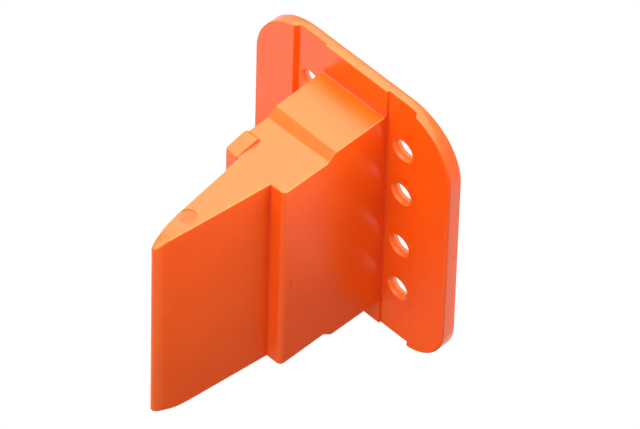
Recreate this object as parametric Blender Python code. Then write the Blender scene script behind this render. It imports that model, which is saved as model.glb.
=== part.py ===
"""Locking wedge for an eight-way sealed connector, as moulded in orange plastic.

The back face of the pin plate lies on z = 0 and the wedge points up +Z.
X runs across the two rows of pin holes and Y runs along them.
"""
import math

import bmesh
import bpy

MM = 0.001

# Pin plate
PLATE_WIDTH = 21.3 * MM
PLATE_LENGTH = 27.0 * MM
CORNER_RADIUS = 5.4 * MM
FLOOR_THICKNESS = 0.8 * MM
LOBE_HEIGHT = 0.5 * MM
RIB_HEIGHT = 0.2 * MM

# Pin holes, countersunk on the wedge side, and what is left beside their mouths
PIN_DIAMETER = 1.6 * MM
PIN_CLEARANCE = 0.2 * MM
OUTER_PITCH = 5.0 * MM
MIDDLE_PITCH = 6.0 * MM
COUNTERSINK_DEPTH = 0.25 * MM
WEDGE_MARGIN = 0.55 * MM
LOBE_MARGIN = 0.15 * MM

# Wedge block, the stepped thick part next to the plate
ROOT_THICKNESS = 6.8 * MM
SHOULDER_THICKNESS = 6.6 * MM
BLOCK_LENGTH = 20.1 * MM
ROOT_STEP = 0.65 * MM
ROOT_HEIGHT = 5.35 * MM
RAMP_HEIGHT = 0.85 * MM
UPPER_HEIGHT = 4.75 * MM

# Nose blade, the double taper that leads in
BLADE_ROOT_THICKNESS = 3.6 * MM
BLADE_KINK_THICKNESS = 1.7 * MM
BLADE_HEIGHT = 8.25 * MM
LEAD_IN_HEIGHT = 2.6 * MM
LEAD_IN_STEP = 0.75 * MM
TIP_RADIUS = 0.5 * MM

# Latch tooth on one corner of the block
TOOTH_WIDTH = 1.35 * MM
TOOTH_RISE = 0.4 * MM
TOOTH_RAMP_LENGTH = 2.35 * MM
TOOTH_BACK_LENGTH = 0.32 * MM

# Core slots, open at the back face on both sides of a middle web
SLOT_WIDTH = 2.4 * MM
SLOT_WEB = 2.0 * MM
SLOT_END_WALL = 2.3 * MM
SLOT_ROOF = 2.15 * MM

# How finely round outlines are divided, and how far a cutter passes its work
CORNER_STEPS = 12
HOLE_STEPS = 32
TIP_STEPS = 8
OVERRUN = 1.0 * MM

# Levels and half sizes that several pieces share
RIB_TOP = FLOOR_THICKNESS + RIB_HEIGHT
LOBE_TOP = FLOOR_THICKNESS + LOBE_HEIGHT
RAMP_BASE = RIB_TOP + ROOT_HEIGHT
RAMP_TOP = RAMP_BASE + RAMP_HEIGHT
SHOULDER_LEVEL = RAMP_TOP + UPPER_HEIGHT
KINK_LEVEL = SHOULDER_LEVEL + BLADE_HEIGHT
TIP_LEVEL = KINK_LEVEL + LEAD_IN_HEIGHT
SLOT_TOP = SHOULDER_LEVEL - SLOT_ROOF
ROOT_LENGTH = BLOCK_LENGTH + 2 * ROOT_STEP
TIP_LENGTH = BLOCK_LENGTH - 2 * LEAD_IN_STEP
THROAT_RADIUS = (PIN_DIAMETER + PIN_CLEARANCE) / 2
MOUTH_RADIUS = THROAT_RADIUS + COUNTERSINK_DEPTH
RIB_EDGE = ROOT_THICKNESS / 2
PIN_ROW = RIB_EDGE + WEDGE_MARGIN + MOUTH_RADIUS
LOBE_EDGE = PIN_ROW + MOUTH_RADIUS + LOBE_MARGIN


def clear_scene():
    for obj in list(bpy.data.objects):
        bpy.data.objects.remove(obj, do_unlink=True)


def plastic():
    """Satin orange thermoplastic, shared by the whole moulding."""
    material = bpy.data.materials.new("orange_plastic")
    material.use_nodes = True
    shader = material.node_tree.nodes["Principled BSDF"]
    shader.inputs["Base Color"].default_value = (0.9, 0.15, 0.02, 1.0)
    shader.inputs["Roughness"].default_value = 0.38
    shader.inputs["Metallic"].default_value = 0.0
    return material


def add_object(name, bm, material=None):
    mesh = bpy.data.meshes.new(name)
    bmesh.ops.recalc_face_normals(bm, faces=bm.faces)
    bm.to_mesh(mesh)
    bm.free()
    obj = bpy.data.objects.new(name, mesh)
    bpy.context.collection.objects.link(obj)
    if material:
        mesh.materials.append(material)
    return obj


def loft(rings):
    """Close a solid over rings of points, each ring with the same count."""
    bm = bmesh.new()
    loops = [[bm.verts.new(point) for point in ring] for ring in rings]
    count = len(rings[0])
    bm.faces.new(list(reversed(loops[0])))
    for lower, upper in zip(loops, loops[1:]):
        for i in range(count):
            j = (i + 1) % count
            bm.faces.new((lower[i], lower[j], upper[j], upper[i]))
    bm.faces.new(loops[-1])
    return bm


def rectangle(half_x, half_y, z):
    return [(-half_x, -half_y, z), (half_x, -half_y, z), (half_x, half_y, z), (-half_x, half_y, z)]


def rounded_rectangle(half_x, half_y, radius, z):
    points = []
    for quarter in range(4):
        corner = math.radians(90 * quarter + 45)
        centre_x = math.copysign(half_x - radius, math.cos(corner))
        centre_y = math.copysign(half_y - radius, math.sin(corner))
        for step in range(CORNER_STEPS + 1):
            angle = math.radians(90) * (quarter + step / CORNER_STEPS)
            points.append((centre_x + radius * math.cos(angle), centre_y + radius * math.sin(angle), z))
    return points


def circle(centre_x, centre_y, radius, z):
    turns = [2 * math.pi * step / HOLE_STEPS for step in range(HOLE_STEPS)]
    return [(centre_x + radius * math.cos(t), centre_y + radius * math.sin(t), z) for t in turns]


def box(low, high):
    """A box from its lowest to its highest corner."""
    corners = [(low[0], low[1]), (high[0], low[1]), (high[0], high[1]), (low[0], high[1])]
    return loft([[(x, y, z) for x, y in corners] for z in (low[2], high[2])])


def cut(target, name, bm):
    """Subtract a solid that stays in the file as a hidden cutter."""
    cutter = add_object(name, bm)
    cutter.hide_render = True
    cutter.display_type = "WIRE"
    modifier = target.modifiers.new(name, "BOOLEAN")
    modifier.operation = "DIFFERENCE"
    modifier.solver = "EXACT"
    modifier.object = cutter


def block_half_thickness(z):
    """Half the block's thickness, which narrows from the recess floor to the shoulder."""
    share = (z - FLOOR_THICKNESS) / (SHOULDER_LEVEL - FLOOR_THICKNESS)
    return (ROOT_THICKNESS + (SHOULDER_THICKNESS - ROOT_THICKNESS) * share) / 2


def slot_span():
    """Where one core slot starts and ends along Y."""
    return SLOT_WEB / 2, BLOCK_LENGTH / 2 - SLOT_END_WALL


def hole_centres():
    inner = MIDDLE_PITCH / 2
    outer = inner + OUTER_PITCH
    return [(x, y) for x in (-PIN_ROW, PIN_ROW) for y in (-outer, -inner, inner, outer)]


def pin_hole_cutter(x, y):
    """Throat from below the plate, then a cone that is level with the recess floor."""
    return loft([
        circle(x, y, THROAT_RADIUS, -OVERRUN),
        circle(x, y, THROAT_RADIUS, FLOOR_THICKNESS - COUNTERSINK_DEPTH),
        circle(x, y, MOUTH_RADIUS, FLOOR_THICKNESS),
        circle(x, y, MOUTH_RADIUS, LOBE_TOP + OVERRUN),
    ])


def make_pin_plate(material):
    outline = [
        rounded_rectangle(PLATE_WIDTH / 2, PLATE_LENGTH / 2, CORNER_RADIUS, z)
        for z in (0.0, LOBE_TOP)
    ]
    plate = add_object("pin_plate", loft(outline), material)
    past_end = PLATE_LENGTH / 2 + OVERRUN
    past_top = LOBE_TOP + OVERRUN
    # The three fields between the lobes are cut down from the lobes' level.
    cut(plate, "rib_level", box((-RIB_EDGE, -past_end, RIB_TOP), (RIB_EDGE, past_end, past_top)))
    cut(plate, "recess_left", box((-LOBE_EDGE, -past_end, FLOOR_THICKNESS), (-RIB_EDGE, past_end, past_top)))
    cut(plate, "recess_right", box((RIB_EDGE, -past_end, FLOOR_THICKNESS), (LOBE_EDGE, past_end, past_top)))
    for number, (x, y) in enumerate(hole_centres(), start=1):
        cut(plate, f"pin_hole_{number}", pin_hole_cutter(x, y))
    start, end = slot_span()
    for side, name in ((-1, "slot_low"), (1, "slot_high")):
        low_y, high_y = sorted((side * start, side * end))
        cut(plate, name, box((-SLOT_WIDTH / 2, low_y, -OVERRUN), (SLOT_WIDTH / 2, high_y, past_top)))
    return plate


def make_wedge_block(material):
    """The root is longer than the rest and steps in by a ramp at each end."""
    levels = [
        (RIB_TOP, ROOT_LENGTH / 2),
        (RAMP_BASE, ROOT_LENGTH / 2),
        (RAMP_TOP, BLOCK_LENGTH / 2),
        (SHOULDER_LEVEL, BLOCK_LENGTH / 2),
    ]
    rings = [rectangle(block_half_thickness(z), half_length, z) for z, half_length in levels]
    block = add_object("wedge_block", loft(rings), material)
    start, end = slot_span()
    for side, name in ((-1, "block_slot_low"), (1, "block_slot_high")):
        low_y, high_y = sorted((side * start, side * end))
        cut(block, name, box((-SLOT_WIDTH / 2, low_y, RIB_TOP - OVERRUN), (SLOT_WIDTH / 2, high_y, SLOT_TOP)))
    return block


def tip_profile():
    """Half thickness and level from the kink's tangent line round to the tip."""
    centre = TIP_LEVEL - TIP_RADIUS
    rise = centre - KINK_LEVEL
    run = BLADE_KINK_THICKNESS / 2
    lean = math.atan2(run, rise) - math.asin(TIP_RADIUS / math.hypot(run, rise))
    angles = [lean + (math.pi / 2 - lean) * step / TIP_STEPS for step in range(TIP_STEPS + 1)]
    return [(TIP_RADIUS * math.cos(a), centre + TIP_RADIUS * math.sin(a)) for a in angles]


def blade_half_length(z):
    """Half the blade's length: full to the kink, then in to the tip at both ends."""
    share = max(0.0, (z - KINK_LEVEL) / LEAD_IN_HEIGHT)
    return (BLOCK_LENGTH + (TIP_LENGTH - BLOCK_LENGTH) * share) / 2


def make_nose_blade(material):
    levels = [(BLADE_ROOT_THICKNESS / 2, SHOULDER_LEVEL), (BLADE_KINK_THICKNESS / 2, KINK_LEVEL)]
    levels += tip_profile()[:-1]
    bm = loft([rectangle(half_x, blade_half_length(z), z) for half_x, z in levels])
    # The top ring closes on the ridge that the round tip ends in.
    bm.faces.ensure_lookup_table()
    top = bm.faces[-1]
    ring = list(top.verts)
    bm.faces.remove(top)
    low_ridge = bm.verts.new((0.0, -TIP_LENGTH / 2, TIP_LEVEL))
    high_ridge = bm.verts.new((0.0, TIP_LENGTH / 2, TIP_LEVEL))
    bm.faces.new((ring[0], ring[1], low_ridge))
    bm.faces.new((ring[1], ring[2], high_ridge, low_ridge))
    bm.faces.new((ring[2], ring[3], high_ridge))
    bm.faces.new((ring[3], ring[0], low_ridge, high_ridge))
    return add_object("nose_blade", bm, material)


def make_latch_tooth(material):
    """A ramp that rises away from the nose and drops steeply towards the plate."""
    foot = BLOCK_LENGTH / 2
    crest_level = SHOULDER_LEVEL - TOOTH_RAMP_LENGTH
    profile = [
        (SHOULDER_LEVEL, foot),
        (crest_level, foot + TOOTH_RISE),
        (crest_level - TOOTH_BACK_LENGTH, foot),
    ]
    inner = TOOTH_WIDTH - SHOULDER_THICKNESS / 2
    outer_ring = [(-block_half_thickness(z), y, z) for z, y in profile]
    inner_ring = [(inner, y, z) for z, y in profile]
    return add_object("latch_tooth", loft([outer_ring, inner_ring]), material)


def shade(objects):
    """Round walls read as round and flat faces stay crisp."""
    for obj in objects:
        obj.data.shade_smooth()
        obj.data.set_sharp_from_angle(angle=math.radians(30))


def main():
    clear_scene()
    material = plastic()
    shade([
        make_pin_plate(material),
        make_wedge_block(material),
        make_nose_blade(material),
        make_latch_tooth(material),
    ])


main()
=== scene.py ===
"""Looks of the connector wedge lock: one orange plastic moulding in a white studio.

The moulding is modelled in millimetres from the frame's own boxes and brought to
metres at the end. +Z runs along the wedge to the nose, +Y points out of the face
that carries the latch tooth, and +X runs across the two rows of pin holes.
"""
import math

import bpy
from mathutils import Matrix, Vector


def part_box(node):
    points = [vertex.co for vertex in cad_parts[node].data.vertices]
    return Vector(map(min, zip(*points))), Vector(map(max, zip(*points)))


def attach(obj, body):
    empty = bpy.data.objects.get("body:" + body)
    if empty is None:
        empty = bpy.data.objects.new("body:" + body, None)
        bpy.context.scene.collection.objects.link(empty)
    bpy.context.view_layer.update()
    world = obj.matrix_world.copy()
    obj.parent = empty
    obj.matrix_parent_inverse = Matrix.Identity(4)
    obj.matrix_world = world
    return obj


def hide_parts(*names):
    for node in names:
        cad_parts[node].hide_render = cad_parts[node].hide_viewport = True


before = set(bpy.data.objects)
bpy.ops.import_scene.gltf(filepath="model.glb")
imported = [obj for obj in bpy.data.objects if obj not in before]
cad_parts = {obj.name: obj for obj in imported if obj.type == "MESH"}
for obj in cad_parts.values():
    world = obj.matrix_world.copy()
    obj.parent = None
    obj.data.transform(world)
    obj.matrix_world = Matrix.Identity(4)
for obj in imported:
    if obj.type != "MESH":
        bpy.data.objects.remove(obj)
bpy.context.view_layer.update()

MM = 0.001


def in_mm(node):
    low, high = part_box(node)
    return low / MM, high / MM


# Sizes that the frame gives
plate_low, plate_high = in_mm("pin_plate")
block_low, block_high = in_mm("wedge_block")
blade_high = in_mm("nose_blade")[1]
tooth_low, tooth_high = in_mm("latch_tooth")

LOBE_TOP = plate_high.z
RIB_TOP = block_low.z
SHOULDER = block_high.z
TIP = blade_high.z
ROOT_HALF_LENGTH = block_high.y
BLADE_HALF_LENGTH = blade_high.y
BLADE_ROOT_HALF = blade_high.x
TOOTH_FOOT = tooth_low.z
TOOTH_CREST_Y = tooth_high.y
TOOTH_SIDE = tooth_high.x

# Sizes inside those boxes
CORNER_RADIUS = 5.4
TIGHT_CORNER_RADIUS = 4.8
RECESS_FLOOR = 0.8
LOBE_EDGE = 6.35
LOBE_STEP_TOP = 6.66
LOBE_INNER_TOP = 1.16
ROOT_HALF = 3.4
SHOULDER_HALF = 3.3
RAMP_BASE = RIB_TOP + 5.35
RAMP_TOP = RAMP_BASE + 0.85
TOOTH_CREST = SHOULDER - 2.35
# The nose, ring by ring: how far below the tip, half thickness, how far its ends draw in
NOSE_RINGS = (
    (3.2, 0.9, 0.0), (2.4, 0.78, 0.02), (1.8, 0.66, 0.08), (1.3, 0.54, 0.18), (0.8, 0.42, 0.32),
    (0.4, 0.31, 0.45), (0.18, 0.22, 0.57), (0.05, 0.13, 0.7), (0.0, 0.05, 0.84),
)
PIN_ROWS = (-5.1, 5.1)
PIN_PLACES = (-8.0, -3.0, 3.0, 8.0)
THROAT_RADIUS = 0.9
LIT_DEPTH = 0.32
MOUTH_RADIUS = 1.06
COUNTERSINK = 0.16
CORE_HALF_WIDTH = 1.2
CORE_START = 1.0
CORE_END = 7.75
CORE_ROOF = SHOULDER - 2.15

# Roundings that the mould leaves, and how many steps each is made of
ROOT_END_FILLET = 0.35
ROOT_SIDE_FILLET = 0.15
SHOULDER_ROUND = 0.42
SHOULDER_END_ROUND = 0.14
TOOTH_ROUND = 0.26
EDGE_ROUND = 0.1
RIM_ROUND = 0.08
FRONT_RIM_ROUND = 0.17
CORE_ROUND = 0.4
CORE_DRAFT = 0.1
CORNER_STEPS = 20
TIGHT_CORNER_STEPS = 22
RIM_STEPS = 4
SHOULDER_STEPS = 4
CORE_STEPS = 4
EDGE_STEPS = 3
ROUND_SIDES = 64
SIDE_FILLET_TURNS = (15, 40, 65, 90)
END_FILLET_TURNS = (15, 35, 50, 70, 90)
RIM_BLEND_START = LOBE_STEP_TOP + 0.5
RIM_BLEND_RUN = 2.5

# How the solids are cut and joined
OVERRUN = 1.0
LEAN_REACH = 5.0
LEAN_TOP = 3.0
BLADE_OVERLAP = 0.5
TOOTH_OVERLAP = 1.0
SAME_PLACE = 0.02
SHARP_ANGLE = math.radians(35)
SMOOTH_ANGLE = math.radians(38)

# The ejector pin's witness mark on the blade
EJECTOR_X = -0.16
EJECTOR_Z = 18.9
EJECTOR_RADIUS = 0.8
EJECTOR_DEPTH = 0.08

# How much painted light each place gets, from 0 to 1, and how strongly each tint is laid on
LIT_WALL_TONE = 1.0
MOUTH_TONE = 0.6
INNER_WALL_TONE = 0.2
LONG_EDGE_TONE = 0.45
SHOULDER_TONE = 0.12
NOSE_TONE = 0.35
NOSE_TONE_REACH = 1.2
PAINTED_LIGHT_AMOUNT = 0.8
SHADE_AMOUNT = 0.7
MARK_AMOUNT = 0.8
NARROW_FACE = 1.1 * EDGE_ROUND
CLEAR_LEAN = 0.2

# Colours of the plastic
PLASTIC_DEEP = (0.86, 0.088, 0.0013)
PLASTIC_BRIGHT = (0.92, 0.1, 0.0017)
# Painted light: pale orange for hole walls, long edges, shoulders and the nose
PLASTIC_PAINTED_LIGHT = (1.0, 0.27, 0.06)
# Painted shade: deeper red for corners at the root, shoulder and beside the tooth
PLASTIC_SHADED = (0.8, 0.035, 0.0006)
PLASTIC_MARK = (0.93, 0.07, 0.001)
PLASTIC_PALE = (1.0, 0.35, 0.12)
SOOT = (0.1, 0.015, 0.004)

# The stage: places and sizes in metres, the lens in millimetres
FLOOR_SIZE = 4
FLOOR_LEVEL = -0.0003
FLOOR_GREY = 0.22
FLOOR_GLOW = 1.05
WORLD_STRENGTH = 0.045
OBJECT_MIDDLE = (0, 0, 0.008)
CAMERA_PLACE = (0.29978, 0.48003, 0.31445)
CAMERA_RIGHT = (0.7032, 0.0196, -0.7107)
CAMERA_BACK = (0.4643, 0.7444, 0.4800)
CAMERA_LENS = 464.9

# Grain of the plastic: noise repeats a metre, and the relief that it makes in metres
FLOW_REPEATS = 130
SHEEN_REPEATS = 260
DRAW_LINE_REPEATS = 250
GRAIN_REPEATS = 2200
RELIEF_HEIGHT = 0.000005
ROUGHNESS_RANGE = (0.27, 0.34)
MARK_DULLING = 0.3
ROOT_DULLING = 0.55

# Small marks of handling: place and half size in millimetres, and strength
DARK_SPECKS = (
    ((10.65, 4.8, 0.27), (0.1, 0.1, 0.06), 0.9),
    ((10.65, -0.15, 0.42), (0.1, 0.06, 0.14), 0.8),
    ((3.33, -0.85, 11.02), (0.1, 0.4, 0.055), 0.6),
)
PALE_SPECKS = (
    ((3.37, -0.2, 6.0), (0.1, 0.06, 0.06), 0.6),
    ((0.6, 1.65, 21.7), (0.35, 0.04, 0.75), 0.25),
)


# ---------------------------------------------------------------- modelling tools

def deselect_all():
    bpy.ops.object.select_all(action="DESELECT")


def make_active(obj):
    deselect_all()
    obj.select_set(True)
    bpy.context.view_layer.objects.active = obj


def finish_place(obj):
    bpy.ops.object.transform_apply(location=True, rotation=True, scale=True)
    return obj


def add_block(name, low, high):
    """A box between two corners, with its place in its mesh."""
    low, high = Vector(low), Vector(high)
    deselect_all()
    bpy.ops.mesh.primitive_cube_add(size=1, location=(low + high) / 2, scale=high - low)
    obj = bpy.context.object
    obj.name = name
    return finish_place(obj)


def open_edit(obj, mode):
    """Start edit mode with nothing selected."""
    make_active(obj)
    bpy.ops.object.mode_set(mode="EDIT")
    bpy.ops.mesh.select_mode(type=mode)
    bpy.ops.mesh.select_all(action="DESELECT")


def close_edit():
    bpy.ops.object.mode_set(mode="OBJECT")


def pick_edges(obj, wanted):
    """Open the mesh with the edges selected whose two ends pass the test."""
    open_edit(obj, "EDGE")
    close_edit()
    points = obj.data.vertices
    for edge in obj.data.edges:
        a, b = (points[i].co for i in edge.vertices)
        edge.select = wanted(a, b)
    bpy.ops.object.mode_set(mode="EDIT")


def pick_faces(obj, wanted):
    """Open the mesh with the faces selected whose centre and normal pass the test."""
    open_edit(obj, "FACE")
    close_edit()
    for face in obj.data.polygons:
        face.select = wanted(face.center, face.normal)
    bpy.ops.object.mode_set(mode="EDIT")


def pick_points(obj, wanted):
    """Open the mesh with the vertices selected that pass the test."""
    open_edit(obj, "VERT")
    close_edit()
    for point in obj.data.vertices:
        point.select = wanted(point.co)
    bpy.ops.object.mode_set(mode="EDIT")


def bevel(radius, segments):
    bpy.ops.mesh.bevel(
        offset_type="OFFSET", offset=radius, segments=segments, profile=0.5,
        affect="EDGES", clamp_overlap=False,
    )


def combine(obj, other, operation):
    """Union or difference with another solid, which is used up."""
    make_active(obj)
    modifier = obj.modifiers.new("combine", "BOOLEAN")
    modifier.operation = operation
    modifier.solver = "EXACT"
    modifier.object = other
    bpy.ops.object.modifier_apply(modifier=modifier.name)
    bpy.data.objects.remove(other, do_unlink=True)


def join_flat_faces(obj):
    """Merge doubled points and join faces that lie in one plane."""
    open_edit(obj, "VERT")
    bpy.ops.mesh.select_all(action="SELECT")
    bpy.ops.mesh.remove_doubles(threshold=0.001)
    bpy.ops.mesh.dissolve_limited(angle_limit=math.radians(0.1))
    close_edit()


def near(value, target):
    return abs(value - target) < SAME_PLACE


def runs_along(a, b, axis):
    step = b - a
    return abs(step[axis]) > 0.9 * step.length


class Stack:
    """A rectangular column that grows upwards ring by ring from its top face."""

    def __init__(self, name, base, level, half_x, half_y, centre_y=0.0):
        self.centre_y = centre_y
        self.half = Vector((half_x, half_y))
        self.level = level
        self.obj = add_block(
            name, (-half_x, centre_y - half_y, base), (half_x, centre_y + half_y, level)
        )
        pick_faces(self.obj, lambda centre, normal: normal.z > 0.9)

    def grow(self, level, half_x, half_y):
        scale = (half_x / self.half.x, half_y / self.half.y, 1)
        bpy.ops.mesh.extrude_region_move(
            TRANSFORM_OT_translate={"value": (0, 0, level - self.level)}
        )
        bpy.ops.transform.resize(value=scale, center_override=(0, self.centre_y, level))
        self.half = Vector((half_x, half_y))
        self.level = level

    def done(self):
        close_edit()
        return self.obj


def fillet_reach(height, radius):
    """How far a concave fillet stands out from its wall at a height above its floor."""
    if height >= radius:
        return 0.0
    height = max(height, 0.0)
    return radius - math.sqrt(2 * radius * height - height * height)


def fillet_levels(floor, radius, turns):
    """The heights of a concave fillet's rings, for turns in degrees from its floor."""
    return [floor + radius * (1 - math.cos(math.radians(turn))) for turn in turns]


# ---------------------------------------------------------------- the moulding

def lean_over_lobe(side):
    """A cutter that lets a lobe fall away a little from the plate's rim to its step."""
    edge = side * plate_high.x
    inner = edge - side * LEAN_REACH
    outer = edge + side * OVERRUN
    low_x, high_x = sorted((inner, outer))
    past_y = plate_high.y + OVERRUN
    cutter = add_block("lobe_lean", (low_x, -past_y, LOBE_TOP), (high_x, past_y, LEAN_TOP))
    run = plate_high.x - LOBE_STEP_TOP
    fall = (LOBE_TOP - LOBE_INNER_TOP) / run
    for edge_x, shift in ((inner, -fall * LEAN_REACH), (outer, fall * OVERRUN)):
        pick_points(cutter, lambda p: near(p.z, LOBE_TOP) and near(p.x, edge_x))
        bpy.ops.transform.translate(value=(0, 0, shift))
        close_edit()
    return cutter


def is_tight_corner(a, b):
    """Whether an edge is the plate's upright one at its +X, -Y corner."""
    return all(near(end.x, plate_high.x) and near(end.y, plate_low.y) for end in (a, b))


def shape_plate():
    """The plate with its four rounded corners and the fields between its two lobes."""
    plate = add_block("moulding", plate_low, plate_high)
    pick_edges(plate, lambda a, b: runs_along(a, b, 2) and not (a.x > 0 and a.y < 0))
    bevel(CORNER_RADIUS, CORNER_STEPS)
    close_edit()
    pick_edges(plate, is_tight_corner)
    bevel(TIGHT_CORNER_RADIUS, TIGHT_CORNER_STEPS)
    close_edit()
    past_y = plate_high.y + OVERRUN
    past_z = LOBE_TOP + OVERRUN
    field = add_block("rib_field", (-ROOT_HALF, -past_y, RIB_TOP), (ROOT_HALF, past_y, past_z))
    combine(plate, field, "DIFFERENCE")
    slope = (LOBE_STEP_TOP - LOBE_EDGE) / (LOBE_INNER_TOP - RECESS_FLOOR)
    spread = slope * (past_z - RECESS_FLOOR)
    for side in (-1, 1):
        low_x, high_x = sorted((side * ROOT_HALF, side * LOBE_EDGE))
        field = add_block("recess", (low_x, -past_y, RECESS_FLOOR), (high_x, past_y, past_z))
        pick_points(field, lambda p: near(p.x, side * LOBE_EDGE) and near(p.z, past_z))
        bpy.ops.transform.translate(value=(side * spread, 0, 0))
        close_edit()
        combine(plate, field, "DIFFERENCE")
        combine(plate, lean_over_lobe(side), "DIFFERENCE")
    join_flat_faces(plate)
    round_by_weight(plate, plate_edge_radius, FRONT_RIM_ROUND, RIM_STEPS)
    return plate


def plate_edge_radius(a, b):
    """The lobes' front rims are the roundest, and the feet of lobes and rib stay sharp."""
    inside_x = near(abs(a.x), LOBE_EDGE) or near(abs(a.x), ROOT_HALF)
    if inside_x and runs_along(a, b, 1) and near(a.z, RECESS_FLOOR):
        return 0.0
    if min(a.z, b.z) < LOBE_INNER_TOP + 0.01:
        return RIM_ROUND
    outward = (min(abs(a.x), abs(b.x)) - RIM_BLEND_START) / RIM_BLEND_RUN
    return RIM_ROUND + (FRONT_RIM_ROUND - RIM_ROUND) * min(max(outward, 0.0), 1.0)


def round_by_weight(obj, radius_of, largest, segments):
    """Round every sharp edge by the radius that the rule gives for its two ends."""
    open_edit(obj, "EDGE")
    bpy.ops.mesh.edges_select_sharp(sharpness=SHARP_ANGLE)
    close_edit()
    points = obj.data.vertices
    weights = obj.data.attributes.new("bevel_weight_edge", "FLOAT", "EDGE")
    for edge in obj.data.edges:
        a, b = (points[i].co for i in edge.vertices)
        weights.data[edge.index].value = radius_of(a, b) / largest if edge.select else 0.0
    modifier = obj.modifiers.new("round_edges", "BEVEL")
    modifier.limit_method = "WEIGHT"
    modifier.width = largest
    modifier.segments = segments
    modifier.use_clamp_overlap = False
    make_active(obj)
    bpy.ops.object.modifier_apply(modifier=modifier.name)


def shape_block():
    """The thick half of the wedge, flared at its root and stepped in by its ramp."""
    side_rings = fillet_levels(RECESS_FLOOR, ROOT_SIDE_FILLET, SIDE_FILLET_TURNS)
    end_rings = fillet_levels(RIB_TOP, ROOT_END_FILLET, END_FILLET_TURNS)

    def half_x(z):
        return ROOT_HALF + fillet_reach(z - RECESS_FLOOR, ROOT_SIDE_FILLET)

    def half_y(z):
        return ROOT_HALF_LENGTH + fillet_reach(z - RIB_TOP, ROOT_END_FILLET)

    foot = RECESS_FLOOR - 0.02
    block = Stack("block", foot - 0.3, foot, half_x(foot), half_y(foot))
    for level in sorted(side_rings + end_rings):
        block.grow(level, half_x(level), half_y(level))
    block.grow(RAMP_BASE, ROOT_HALF, ROOT_HALF_LENGTH)
    block.grow(RAMP_TOP, ROOT_HALF, BLADE_HALF_LENGTH)
    block.grow(SHOULDER, ROOT_HALF, BLADE_HALF_LENGTH)
    return block.done()


def shape_tooth():
    """A block on the wedge's face, drawn out at its crest and run out at the shoulder."""
    face = BLADE_HALF_LENGTH
    tooth = add_block(
        "tooth", (-ROOT_HALF, face - TOOTH_OVERLAP, TOOTH_FOOT), (TOOTH_SIDE, face, SHOULDER)
    )
    pick_faces(tooth, lambda centre, normal: normal.y > 0.9)
    bpy.ops.mesh.bisect(plane_co=(0, 0, TOOTH_CREST), plane_no=(0, 0, 1))
    close_edit()
    pick_points(tooth, lambda p: near(p.z, TOOTH_CREST) and near(p.y, face))
    bpy.ops.transform.translate(value=(0, TOOTH_CREST_Y - face, 0))
    close_edit()
    return tooth


def lean_flanks(wedge):
    """Draw the two flanks in a little towards the shoulder."""
    for level in (RAMP_BASE, RAMP_TOP, TOOTH_FOOT, TOOTH_CREST, SHOULDER):
        rise = (level - RECESS_FLOOR) / (SHOULDER - RECESS_FLOOR)
        half = ROOT_HALF + (SHOULDER_HALF - ROOT_HALF) * rise
        pick_points(wedge, lambda p: near(p.z, level) and near(abs(p.x), ROOT_HALF))
        bpy.ops.transform.resize(value=(half / ROOT_HALF, 1, 1), center_override=(0, 0, level))
        close_edit()


def shape_blade():
    """The thin half of the wedge, from inside the block to its softly rounded nose."""
    foot = SHOULDER - BLADE_OVERLAP
    blade = Stack("blade", foot, SHOULDER, BLADE_ROOT_HALF, BLADE_HALF_LENGTH)
    for below_tip, half_x, draw_in in NOSE_RINGS:
        blade.grow(TIP - below_tip, half_x, BLADE_HALF_LENGTH - draw_in)
    return blade.done()


def shape_wedge():
    """The whole wedge: block, tooth and blade in one solid with its edges rounded."""
    wedge = shape_block()
    combine(wedge, shape_tooth(), "UNION")
    join_flat_faces(wedge)
    lean_flanks(wedge)
    combine(wedge, shape_blade(), "UNION")
    join_flat_faces(wedge)
    pick_edges(wedge, is_shoulder_edge)
    bevel(SHOULDER_ROUND, SHOULDER_STEPS)
    close_edit()
    round_by_weight(wedge, wedge_edge_radius, TOOTH_ROUND, EDGE_STEPS)
    return wedge


def is_shoulder_edge(a, b):
    """Whether an edge is the outer one of a shoulder, along the wedge's side."""
    return runs_along(a, b, 1) and near(a.z, SHOULDER) and near(abs(a.x), SHOULDER_HALF)


def wedge_edge_radius(a, b):
    """The tooth's crest is rounder than the wedge; the flared root and the tip need none."""
    if min(a.z, b.z) < RIB_TOP + ROOT_END_FILLET - 0.01 or max(a.z, b.z) > TIP - 0.15:
        return 0.0
    on_crest = near(a.z, TOOTH_CREST) and near(b.z, TOOTH_CREST)
    if on_crest and min(a.y, b.y) > BLADE_HALF_LENGTH:
        return TOOTH_ROUND
    above_round = min(a.z, b.z) > SHOULDER - SHOULDER_ROUND - SAME_PLACE
    at_shoulder = above_round and max(a.z, b.z) < SHOULDER + SAME_PLACE
    if at_shoulder and min(abs(a.x), abs(b.x)) > BLADE_ROOT_HALF - SAME_PLACE:
        return SHOULDER_END_ROUND
    return EDGE_ROUND


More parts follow.
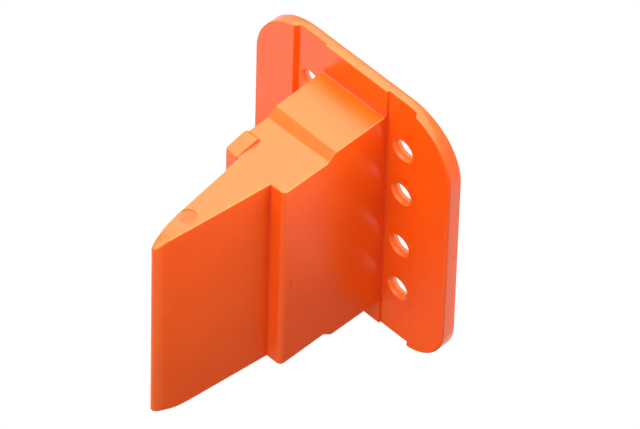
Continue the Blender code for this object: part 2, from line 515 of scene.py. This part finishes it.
def add_pin_hole(x, y):
    """A round cutter with a countersunk mouth and softened rims."""
    deselect_all()
    bpy.ops.mesh.primitive_cylinder_add(
        vertices=ROUND_SIDES, radius=THROAT_RADIUS, depth=OVERRUN, location=(x, y, -OVERRUN / 2)
    )
    hole = bpy.context.object
    finish_place(hole)
    pick_faces(hole, lambda centre, normal: normal.z > 0.9)
    # Radius and level of each ring: back rim, straight throat, countersink, mouth, past the plate
    radius, level = THROAT_RADIUS + RIM_ROUND, 0.0
    bpy.ops.transform.resize(
        value=(radius / THROAT_RADIUS, radius / THROAT_RADIUS, 1), center_override=(x, y, 0)
    )
    for next_radius, next_level in (
        (THROAT_RADIUS + 0.3 * RIM_ROUND, 0.3 * RIM_ROUND),
        (THROAT_RADIUS, RIM_ROUND),
        (THROAT_RADIUS, LIT_DEPTH),
        (THROAT_RADIUS, RECESS_FLOOR - COUNTERSINK - 0.04),
        (THROAT_RADIUS + 0.02, RECESS_FLOOR - COUNTERSINK + 0.01),
        (MOUTH_RADIUS - 0.02, RECESS_FLOOR - 0.04),
        (MOUTH_RADIUS + 0.01, RECESS_FLOOR - 0.012),
        (MOUTH_RADIUS + 0.08, RECESS_FLOOR + 0.02),
        (MOUTH_RADIUS + 0.08, LOBE_TOP + OVERRUN),
    ):
        bpy.ops.mesh.extrude_region_move(
            TRANSFORM_OT_translate={"value": (0, 0, next_level - level)}
        )
        scale = next_radius / radius
        bpy.ops.transform.resize(value=(scale, scale, 1), center_override=(x, y, next_level))
        radius, level = next_radius, next_level
    close_edit()
    return hole


def add_core(side):
    """A blind pocket that lightens the wedge from the back, with rounded corners."""
    low_y, high_y = sorted((side * CORE_START, side * CORE_END))
    half_y = (high_y - low_y) / 2
    stack = Stack(
        "core", -OVERRUN, -OVERRUN / 2, CORE_HALF_WIDTH, half_y, centre_y=(low_y + high_y) / 2
    )
    stack.grow(CORE_ROOF, CORE_HALF_WIDTH - CORE_DRAFT, half_y - CORE_DRAFT)
    core = stack.done()
    pick_edges(core, lambda a, b: runs_along(a, b, 2) or near(min(a.z, b.z), CORE_ROOF))
    bevel(CORE_ROUND, CORE_STEPS)
    close_edit()
    return core


def add_ejector_mark():
    """A shallow round pocket where an ejector pin pushed the moulding out."""
    deselect_all()
    bpy.ops.mesh.primitive_cylinder_add(
        vertices=ROUND_SIDES, radius=EJECTOR_RADIUS, depth=2 * EJECTOR_DEPTH,
        location=(EJECTOR_X, BLADE_HALF_LENGTH, EJECTOR_Z), rotation=(math.radians(90), 0, 0),
    )
    mark = bpy.context.object
    return finish_place(mark)


def mark_painted_light_and_shade(moulding):
    """Store how much painted light each face gets, and which faces get painted shade in corners.
    """
    points = moulding.data.vertices
    light_levels, shade_flags = [], []
    for face in moulding.data.polygons:
        longest = max((points[a].co - points[b].co).length for a, b in face.edge_keys)
        is_narrow = face.area / longest < NARROW_FACE
        light_levels.append(painted_light_level(face.center, face.normal, is_narrow))
        shade_flags.append(1.0 if gets_painted_shade(face.center, face.normal, is_narrow) else 0.0)
    for name, values in (("painted_light_mask", light_levels), ("painted_shade_mask", shade_flags)):
        tone = moulding.data.attributes.new(name, "FLOAT", "FACE")
        tone.data.foreach_set("value", values)


def in_shoulder_corner(place):
    return abs(place.z - SHOULDER) < 0.15 and abs(place.x) < BLADE_ROOT_HALF + 0.4


def at_root(place):
    return place.z < RIB_TOP + ROOT_END_FILLET and abs(place.x) < ROOT_HALF + 0.2


def beside_tooth(place):
    return place.y > BLADE_HALF_LENGTH - SAME_PLACE and place.x < TOOTH_SIDE + 0.15


def leans(part):
    """Whether a normal's part shows that the face leans noticeably that way."""
    return abs(part) > CLEAR_LEAN


def painted_light_level(place, normal, is_narrow):
    """How much painted light a face gets: light through the holes, highlights on long edges and
    shoulders, and light on the nose.
    """
    hole_tone = pin_hole_tone(place)
    if hole_tone:
        return hole_tone
    is_long_edge = is_narrow and leans(normal.x) and leans(normal.y) and abs(normal.z) < 0.3
    if is_long_edge and not (in_shoulder_corner(place) or at_root(place) or beside_tooth(place)):
        return LONG_EDGE_TONE
    outside_blade = abs(place.x) > BLADE_ROOT_HALF + 0.3
    at_shoulder = abs(place.z - SHOULDER) < SHOULDER_ROUND and outside_blade
    if at_shoulder and leans(normal.x) and leans(normal.z):
        return SHOULDER_TONE
    return NOSE_TONE * max(0.0, 1 - (TIP - place.z) / NOSE_TONE_REACH)


def gets_painted_shade(place, normal, is_narrow):
    """Whether a face gets painted shade: in the corners at the root and shoulder, and beside the
    tooth.
    """
    is_slanted = sum(leans(part) for part in normal) > 1
    if at_root(place) and is_slanted and abs(place.y) < ROOT_HALF_LENGTH + 0.5:
        return True
    if beside_tooth(place) and normal.x > 0.3:
        return True
    return in_shoulder_corner(place) and is_narrow


def pin_hole_tone(place):
    """How much painted light a pin hole's wall gets: most at the back, least halfway and some at
    the mouth.
    """
    reach = min(math.hypot(place.x - x, place.y - y) for x in PIN_ROWS for y in PIN_PLACES)
    if place.z > RECESS_FLOOR + SAME_PLACE or place.z < 0.01 or reach > MOUTH_RADIUS + 0.03:
        return 0.0
    if place.z < LIT_DEPTH:
        return LIT_WALL_TONE
    return MOUTH_TONE if place.z > RECESS_FLOOR - COUNTERSINK - 0.04 else INNER_WALL_TONE


def shape_moulding():
    """Plate and wedge joined, cut by holes, cores and ejector mark, and brought to metres."""
    moulding = shape_plate()
    combine(moulding, shape_wedge(), "UNION")
    for x in PIN_ROWS:
        for y in PIN_PLACES:
            combine(moulding, add_pin_hole(x, y), "DIFFERENCE")
    for side in (-1, 1):
        combine(moulding, add_core(side), "DIFFERENCE")
    combine(moulding, add_ejector_mark(), "DIFFERENCE")
    open_edit(moulding, "VERT")
    bpy.ops.mesh.select_all(action="SELECT")
    bpy.ops.mesh.remove_doubles(threshold=0.0005)
    bpy.ops.mesh.normals_make_consistent(inside=False)
    close_edit()
    mark_painted_light_and_shade(moulding)
    moulding.scale = (MM, MM, MM)
    make_active(moulding)
    finish_place(moulding)
    bpy.ops.object.shade_smooth_by_angle(angle=SMOOTH_ANGLE)
    modifier = moulding.modifiers.new("even_shading", "WEIGHTED_NORMAL")
    modifier.weight = 80
    modifier.keep_sharp = True
    bpy.ops.object.modifier_apply(modifier=modifier.name)
    return moulding


# ---------------------------------------------------------------- materials

def new_material(name):
    material = bpy.data.materials.new(name)
    material.use_nodes = True
    nodes = material.node_tree.nodes
    return material, nodes, material.node_tree.links, nodes["Principled BSDF"]


def make_spot_group():
    """A soft-edged spot on the surface: white within half a size of its place, black beyond."""
    group = bpy.data.node_groups.new("spot", "ShaderNodeTree")
    interface = group.interface
    interface.new_socket(name="Place", in_out="INPUT", socket_type="NodeSocketVector")
    interface.new_socket(name="Half Size", in_out="INPUT", socket_type="NodeSocketVector")
    interface.new_socket(name="Mask", in_out="OUTPUT", socket_type="NodeSocketFloat")
    nodes, links = group.nodes, group.links
    entry = nodes.new("NodeGroupInput")
    surface = nodes.new("ShaderNodeTexCoord")
    offset = nodes.new("ShaderNodeVectorMath")
    offset.operation = "SUBTRACT"
    scaled = nodes.new("ShaderNodeVectorMath")
    scaled.operation = "DIVIDE"
    distance = nodes.new("ShaderNodeVectorMath")
    distance.operation = "LENGTH"
    edge = nodes.new("ShaderNodeMapRange")
    edge.interpolation_type = "SMOOTHSTEP"
    edge.inputs["From Min"].default_value = 1.0
    edge.inputs["From Max"].default_value = 0.8
    leave = nodes.new("NodeGroupOutput")
    links.new(surface.outputs["Object"], offset.inputs[0])
    links.new(entry.outputs["Place"], offset.inputs[1])
    links.new(offset.outputs["Vector"], scaled.inputs[0])
    links.new(entry.outputs["Half Size"], scaled.inputs[1])
    links.new(scaled.outputs["Vector"], distance.inputs[0])
    links.new(distance.outputs["Value"], edge.inputs["Value"])
    links.new(edge.outputs["Result"], leave.inputs["Mask"])
    return group


def add_noise(material, repeats, detail, stretch=(1, 1, 1)):
    """Noise on the moulding's own coordinates, in repeats a metre; gives its value socket."""
    nodes, links = material.node_tree.nodes, material.node_tree.links
    surface = nodes.new("ShaderNodeTexCoord")
    mapping = nodes.new("ShaderNodeMapping")
    mapping.inputs["Scale"].default_value = stretch
    noise = nodes.new("ShaderNodeTexNoise")
    noise.inputs["Scale"].default_value = repeats
    noise.inputs["Detail"].default_value = detail
    links.new(surface.outputs["Object"], mapping.inputs["Vector"])
    links.new(mapping.outputs["Vector"], noise.inputs["Vector"])
    return noise.outputs["Fac"]


def map_range(material, value, from_min, from_max, to_min, to_max):
    """Bring a value from one range to another; gives its socket."""
    nodes, links = material.node_tree.nodes, material.node_tree.links
    node = nodes.new("ShaderNodeMapRange")
    node.inputs["From Min"].default_value = from_min
    node.inputs["From Max"].default_value = from_max
    node.inputs["To Min"].default_value = to_min
    node.inputs["To Max"].default_value = to_max
    links.new(value, node.inputs["Value"])
    return node.outputs["Result"]


def tint(material, base, mask, colour, amount=1.0):
    """Lay a colour over the base, a colour or a socket, where the mask is white."""
    nodes, links = material.node_tree.nodes, material.node_tree.links
    mix = nodes.new("ShaderNodeMix")
    mix.data_type = "RGBA"
    under, over, result = mix.inputs[6], mix.inputs[7], mix.outputs[2]
    links.new(map_range(material, mask, 0, 1, 0, amount), mix.inputs["Factor"])
    if isinstance(base, tuple):
        under.default_value = (*base, 1)
    else:
        links.new(base, under)
    over.default_value = (*colour, 1)
    return result


def scale_and_add(material, value, factor, addend):
    """A value times a factor plus another value; gives its socket."""
    node = material.node_tree.nodes.new("ShaderNodeMath")
    node.operation = "MULTIPLY_ADD"
    node.inputs[1].default_value = factor
    material.node_tree.links.new(value, node.inputs[0])
    material.node_tree.links.new(addend, node.inputs[2])
    return node.outputs["Value"]


def add_spot(material, group, place, half_size):
    """One spot, its place and half size given in millimetres; gives its mask socket."""
    node = material.node_tree.nodes.new("ShaderNodeGroup")
    node.node_tree = group
    node.inputs["Place"].default_value = Vector(place) * MM
    node.inputs["Half Size"].default_value = Vector(half_size) * MM
    return node.outputs["Mask"]


def read_mark(material, name):
    """A tone that mark_painted_light_and_shade stored on the faces; gives its socket."""
    node = material.node_tree.nodes.new("ShaderNodeAttribute")
    node.attribute_name = name
    return node.outputs["Fac"]


def make_orange_plastic():
    """Satin orange polymer: flow tint, painted light on edges, holes and nose, painted shade in
    corners, fine moulded grain and small marks.
    """
    material, nodes, links, shader = new_material("orange_plastic")
    shader.inputs["IOR"].default_value = 1.5
    shader.inputs["Specular IOR Level"].default_value = 0.4
    shader.inputs["Subsurface Weight"].default_value = 0.25
    shader.inputs["Subsurface Radius"].default_value = (1.0, 0.3, 0.08)
    shader.inputs["Subsurface Scale"].default_value = 0.0006

    flow = map_range(material, add_noise(material, FLOW_REPEATS, 2), 0.3, 0.7, 0, 1)
    painted_shade_mask = read_mark(material, "painted_shade_mask")
    colour = tint(material, PLASTIC_DEEP, flow, PLASTIC_BRIGHT)
    # Painted light: hole walls lit from behind, highlights on long edges and shoulders, light on
    # the nose
    colour = tint(material, colour, read_mark(material, "painted_light_mask"), PLASTIC_PAINTED_LIGHT, PAINTED_LIGHT_AMOUNT)
    # Painted shade in the corners at the root, shoulder and beside the tooth
    colour = tint(material, colour, painted_shade_mask, PLASTIC_SHADED, SHADE_AMOUNT)
    spot = make_spot_group()
    mark_place = (EJECTOR_X, BLADE_HALF_LENGTH, EJECTOR_Z)
    mark = add_spot(material, spot, mark_place, (EJECTOR_RADIUS, 0.2, EJECTOR_RADIUS))
    colour = tint(material, colour, mark, PLASTIC_MARK, MARK_AMOUNT)
    for specks, speck_colour in ((DARK_SPECKS, SOOT), (PALE_SPECKS, PLASTIC_PALE)):
        for place, half_size, amount in specks:
            speck = add_spot(material, spot, place, half_size)
            colour = tint(material, colour, speck, speck_colour, amount)
    links.new(colour, shader.inputs["Base Color"])

    sheen = map_range(material, add_noise(material, SHEEN_REPEATS, 1), 0.1, 0.9, *ROUGHNESS_RANGE)
    sheen = scale_and_add(material, mark, MARK_DULLING, sheen)
    sheen = scale_and_add(material, painted_shade_mask, ROOT_DULLING, sheen)
    links.new(sheen, shader.inputs["Roughness"])

    grain = add_noise(material, GRAIN_REPEATS, 1)
    draw_lines = add_noise(material, DRAW_LINE_REPEATS, 1, stretch=(10, 10, 0.5))
    bump = nodes.new("ShaderNodeBump")
    bump.inputs["Strength"].default_value = 0.3
    bump.inputs["Distance"].default_value = RELIEF_HEIGHT
    links.new(scale_and_add(material, draw_lines, 0.6, grain), bump.inputs["Height"])
    links.new(bump.outputs["Normal"], shader.inputs["Normal"])
    return material


def make_floor_material():
    """White to the camera whatever light falls on it, and a matt grey reflector to the lock."""
    material, nodes, links, shader = new_material("white_sweep")
    shader.inputs["Base Color"].default_value = (FLOOR_GREY, FLOOR_GREY, FLOOR_GREY, 1)
    shader.inputs["Roughness"].default_value = 1.0
    glow = nodes.new("ShaderNodeEmission")
    glow.inputs["Strength"].default_value = FLOOR_GLOW
    rays = nodes.new("ShaderNodeLightPath")
    mix = nodes.new("ShaderNodeMixShader")
    links.new(rays.outputs["Is Camera Ray"], mix.inputs["Fac"])
    links.new(shader.outputs["BSDF"], mix.inputs[1])
    links.new(glow.outputs["Emission"], mix.inputs[2])
    links.new(mix.outputs["Shader"], nodes["Material Output"].inputs["Surface"])
    return material


# ---------------------------------------------------------------- stage, light, camera

def add_floor():
    """A flat floor just under the lock."""
    deselect_all()
    bpy.ops.mesh.primitive_plane_add(size=FLOOR_SIZE, location=(0, 0, FLOOR_LEVEL))
    floor = bpy.context.object
    floor.name = "floor"
    finish_place(floor)
    floor.data.materials.append(make_floor_material())


def add_softbox(name, location, aim, width, height, watts):
    """A rectangular lamp that the camera doesn't see, turned to face its aim."""
    data = bpy.data.lights.new(name, "AREA")
    data.shape = "RECTANGLE"
    data.size = width
    data.size_y = height
    data.energy = watts
    light = bpy.data.objects.new(name, data)
    bpy.context.collection.objects.link(light)
    light.location = location
    light.rotation_euler = (Vector(aim) - Vector(location)).to_track_quat("-Z", "Y").to_euler()
    light.visible_camera = False


def add_lights():
    """White lamps: two panels at floor level, five boxes on the tooth's side and four others."""
    world = bpy.data.worlds.new("studio")
    world.use_nodes = True
    world.node_tree.nodes["Background"].inputs["Color"].default_value = (1, 1, 1, 1)
    world.node_tree.nodes["Background"].inputs["Strength"].default_value = WORLD_STRENGTH
    bpy.context.scene.world = world
    add_softbox("back_glow", (-0.02, 0.084, -0.0001), (-0.02, 0.084, 1), 0.2, 0.14, 0.345)
    add_softbox("plate_glow", (0.0012, 0, -0.0002), (0.0012, 0, 1), 0.026, 0.029, 0.0025)
    add_softbox("back_high", (-0.03, 0.16, 0.06), OBJECT_MIDDLE, 0.12, 0.12, 0.12)
    add_softbox("overhead_left", (-0.05, 0.19, 0.14), OBJECT_MIDDLE, 0.3, 0.3, 0.06)
    add_softbox("overhead_middle", (0, 0.26, 0.03), OBJECT_MIDDLE, 0.3, 0.3, 0.43)
    add_softbox("overhead_right", (0.06, 0.2, 0.12), OBJECT_MIDDLE, 0.25, 0.25, 0.48)
    add_softbox("top_front", (0, 0.12, 0.25), OBJECT_MIDDLE, 0.15, 0.15, 0.21)
    add_softbox("low_front", (0.02, -0.15, 0.2), OBJECT_MIDDLE, 0.3, 0.3, 0.135)
    add_softbox("right_low", (0.2, -0.15, 0.03), OBJECT_MIDDLE, 0.12, 0.12, 0.035)
    add_softbox("left_front", (-0.2, 0.03, 0.22), OBJECT_MIDDLE, 0.2, 0.2, 0.155)
    add_softbox("left_fill", (-0.06, -0.035, 0.05), (-0.006, 0.006, 0.001), 0.07, 0.07, 0.021)


def add_camera():
    """A very long lens on the +X, +Y, +Z side, rolled so that the nose points left and down."""
    right = Vector(CAMERA_RIGHT).normalized()
    back = Vector(CAMERA_BACK).normalized()
    up = back.cross(right).normalized()
    right = up.cross(back)
    data = bpy.data.cameras.new("camera")
    data.sensor_width = 36
    data.lens = CAMERA_LENS
    data.clip_start = 0.01
    camera = bpy.data.objects.new("camera", data)
    bpy.context.collection.objects.link(camera)
    place = Matrix((right, up, back)).transposed().to_4x4()
    place.translation = CAMERA_PLACE
    camera.matrix_world = place
    bpy.context.scene.camera = camera


# ---------------------------------------------------------------- assembly

moulding = shape_moulding()
moulding.data.materials.clear()
moulding.data.materials.append(make_orange_plastic())
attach(moulding, "root")
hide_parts("pin_plate", "wedge_block", "nose_blade", "latch_tooth")

add_floor()
add_lights()
add_camera()
bpy.context.scene.view_settings.view_transform = "Standard"
